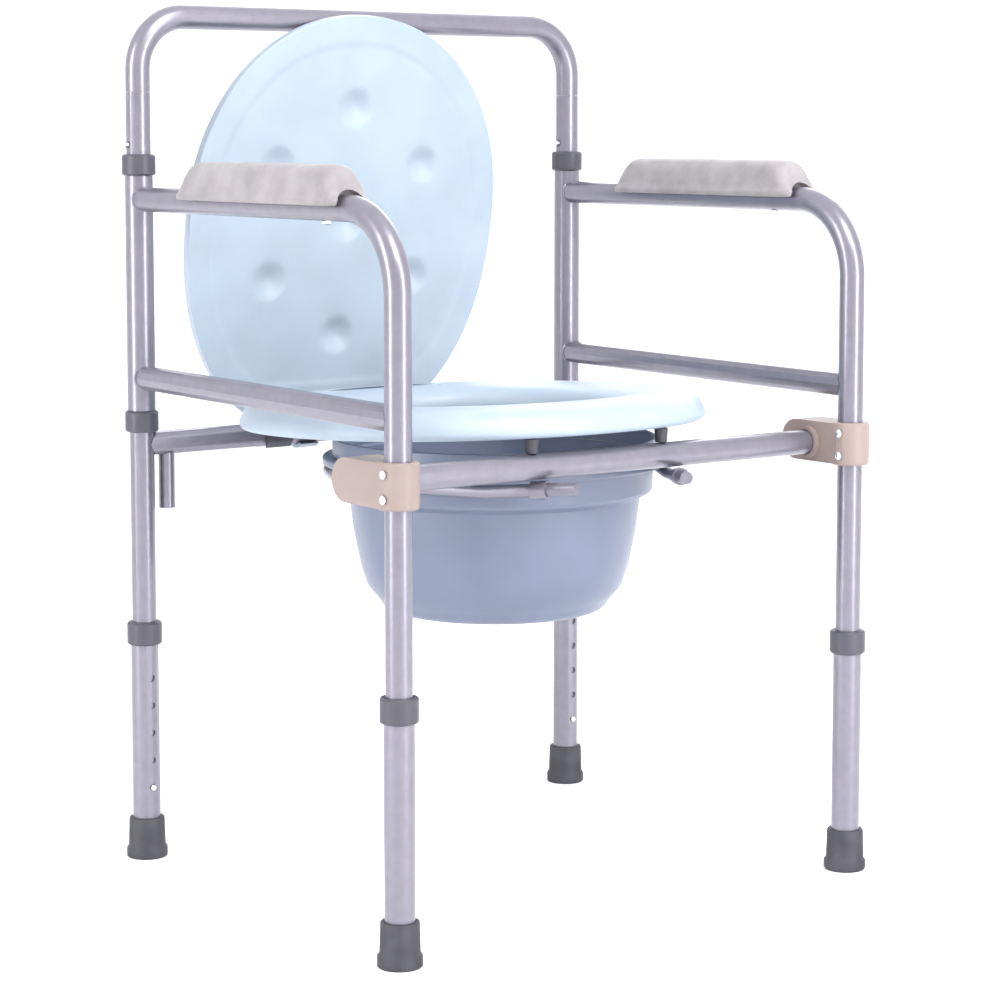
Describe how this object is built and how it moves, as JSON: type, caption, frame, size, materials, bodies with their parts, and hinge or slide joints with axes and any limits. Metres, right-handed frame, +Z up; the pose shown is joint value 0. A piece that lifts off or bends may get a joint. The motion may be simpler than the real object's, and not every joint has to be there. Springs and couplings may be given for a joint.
{
  "type": "commode chair",
  "caption": "Folding steel commode chair with adjustable legs, padded arms, hinged seat and lid, and a lift-out pail.",
  "frame": {"origin": "on the floor, under the middle of the bounding box; the leg axes are centred 15.6 mm in front of it", "axes": "+Z up, -Y towards the chair's front, +X to the right for a viewer facing the front"},
  "size_m": [0.531, 0.4818, 0.7791],
  "materials": {
    "hammered_frame_paint": "hammered metallic grey-mauve enamel",
    "dark_collar_plastic": "satin moulded",
    "taupe_bracket": "satin moulded",
    "blue_grey_plastic": "fine satin moulded",
    "dark_blue_grey_plastic": "semi-gloss moulded",
    "grey_pad_vinyl": "fine grained",
    "black_rubber": "matte",
    "bright_steel": "polished"
  },
  "bodies": {
    "root": {"backrest_hoop": "hammered_frame_paint", "lower_collar_left": "dark_collar_plastic", "lower_collar_right": "dark_collar_plastic", "rear_crossbar": "hammered_frame_paint", "rear_upright_left": "hammered_frame_paint", "rear_upright_right": "hammered_frame_paint", "rod_rest": "hammered_frame_paint", "stub_tube_left": "hammered_frame_paint", "stub_tube_right": "hammered_frame_paint", "top_collar_left": "dark_collar_plastic", "top_collar_right": "dark_collar_plastic"},
    "left_side": {"arm_pad_left": "grey_pad_vinyl", "arm_tube_left": "hammered_frame_paint", "hinge_sleeve_left": "hammered_frame_paint", "pad_screw_left": "bright_steel", "side_bar_left": "hammered_frame_paint"},
    "right_side": {"arm_pad_right": "grey_pad_vinyl", "arm_tube_right": "hammered_frame_paint", "hinge_sleeve_right": "hammered_frame_paint", "pad_screw_right": "bright_steel", "side_bar_right": "hammered_frame_paint"},
    "front_bar": {"front_bracket_left": "taupe_bracket", "front_bracket_right": "taupe_bracket", "front_crossbar": "hammered_frame_paint", "pail": "dark_blue_grey_plastic", "pail_rod": "hammered_frame_paint", "rivet_left_lower": "bright_steel", "rivet_left_upper": "bright_steel", "rivet_right_lower": "bright_steel", "rivet_right_upper": "bright_steel", "rod_saddle_left": "hammered_frame_paint", "rod_saddle_right": "hammered_frame_paint", "splash_guard": "dark_blue_grey_plastic"},
    "seat_body": {"seat": "blue_grey_plastic", "seat_bumper_left": "black_rubber", "seat_bumper_right": "black_rubber", "seat_clip_left": "dark_collar_plastic", "seat_clip_right": "dark_collar_plastic"},
    "lid_body": {"lid": "blue_grey_plastic"},
    "leg_rear_left": {"leg_collar_rear_left": "dark_collar_plastic", "lower_leg_rear_left": "hammered_frame_paint", "rubber_tip_rear_left": "black_rubber"},
    "leg_button_body_rear_left": {"leg_button_rear_left": "bright_steel"},
    "leg_rear_right": {"leg_collar_rear_right": "dark_collar_plastic", "lower_leg_rear_right": "hammered_frame_paint", "rubber_tip_rear_right": "black_rubber"},
    "leg_button_body_rear_right": {"leg_button_rear_right": "bright_steel"},
    "leg_front_left": {"leg_collar_front_left": "dark_collar_plastic", "lower_leg_front_left": "hammered_frame_paint", "rubber_tip_front_left": "black_rubber"},
    "leg_button_body_front_left": {"leg_button_front_left": "bright_steel"},
    "leg_front_right": {"leg_collar_front_right": "dark_collar_plastic", "lower_leg_front_right": "hammered_frame_paint", "rubber_tip_front_right": "black_rubber"},
    "leg_button_body_front_right": {"leg_button_front_right": "bright_steel"},
    "back_button_left": {"backrest_button_left": "bright_steel"},
    "back_button_right": {"backrest_button_right": "bright_steel"}
  },
  "joints": [
    {"name": "left_fold", "type": "hinge", "parent": "root", "child": "left_side", "pos_m": [-0.244, 0.19088, 0.52], "axis": [0, 0, 1], "range_deg": [-6, 6]},
    {"name": "right_fold", "type": "hinge", "parent": "root", "child": "right_side", "pos_m": [0.244, 0.19088, 0.52], "axis": [0, 0, 1], "range_deg": [-6, 6]},
    {"name": "front_bar_turn", "type": "hinge", "parent": "left_side", "child": "front_bar", "pos_m": [-0.244, -0.22212, 0.388], "axis": [0, 0, 1], "range_deg": [-6, 6]},
    {"name": "seat_lift", "type": "hinge", "parent": "root", "child": "seat_body", "pos_m": [-0.015, 0.19088, 0.382], "axis": [-1, 0, 0], "range_deg": [0, 78]},
    {"name": "lid_lift", "type": "hinge", "parent": "root", "child": "lid_body", "pos_m": [-0.015, 0.19088, 0.382], "axis": [-1, 0, 0], "range_deg": [-78.2, 0]},
    {"name": "leg_height_rear_left", "type": "slide", "parent": "root", "child": "leg_rear_left", "axis": [0, 0, -1], "range_m": [0, 0.1016]},
    {"name": "leg_button_press_rear_left", "type": "slide", "parent": "leg_rear_left", "child": "leg_button_body_rear_left", "axis": [0, 1, 0], "range_m": [0, 0.003], "stiffness_N_per_m": 1200},
    {"name": "leg_height_rear_right", "type": "slide", "parent": "root", "child": "leg_rear_right", "axis": [0, 0, -1], "range_m": [0, 0.1016]},
    {"name": "leg_button_press_rear_right", "type": "slide", "parent": "leg_rear_right", "child": "leg_button_body_rear_right", "axis": [0, 1, 0], "range_m": [0, 0.003], "stiffness_N_per_m": 1200},
    {"name": "leg_height_front_left", "type": "slide", "parent": "left_side", "child": "leg_front_left", "axis": [0, 0, -1], "range_m": [0, 0.1016]},
    {"name": "leg_button_press_front_left", "type": "slide", "parent": "leg_front_left", "child": "leg_button_body_front_left", "axis": [0, -1, 0], "range_m": [0, 0.003], "stiffness_N_per_m": 1200},
    {"name": "leg_height_front_right", "type": "slide", "parent": "right_side", "child": "leg_front_right", "axis": [0, 0, -1], "range_m": [0, 0.1016]},
    {"name": "leg_button_press_front_right", "type": "slide", "parent": "leg_front_right", "child": "leg_button_body_front_right", "axis": [0, -1, 0], "range_m": [0, 0.003], "stiffness_N_per_m": 1200},
    {"name": "back_button_press_left", "type": "slide", "parent": "root", "child": "back_button_left", "axis": [1, 0, 0], "range_m": [0, 0.0035], "stiffness_N_per_m": 1200},
    {"name": "back_button_press_right", "type": "slide", "parent": "root", "child": "back_button_right", "axis": [1, 0, 0], "range_m": [0, 0.0035], "stiffness_N_per_m": 1200}
  ],
  "couplings": [
    {"joint": "right_fold", "follows": "left_fold", "ratio": 1},
    {"joint": "front_bar_turn", "follows": "left_fold", "ratio": -1}
  ]
}
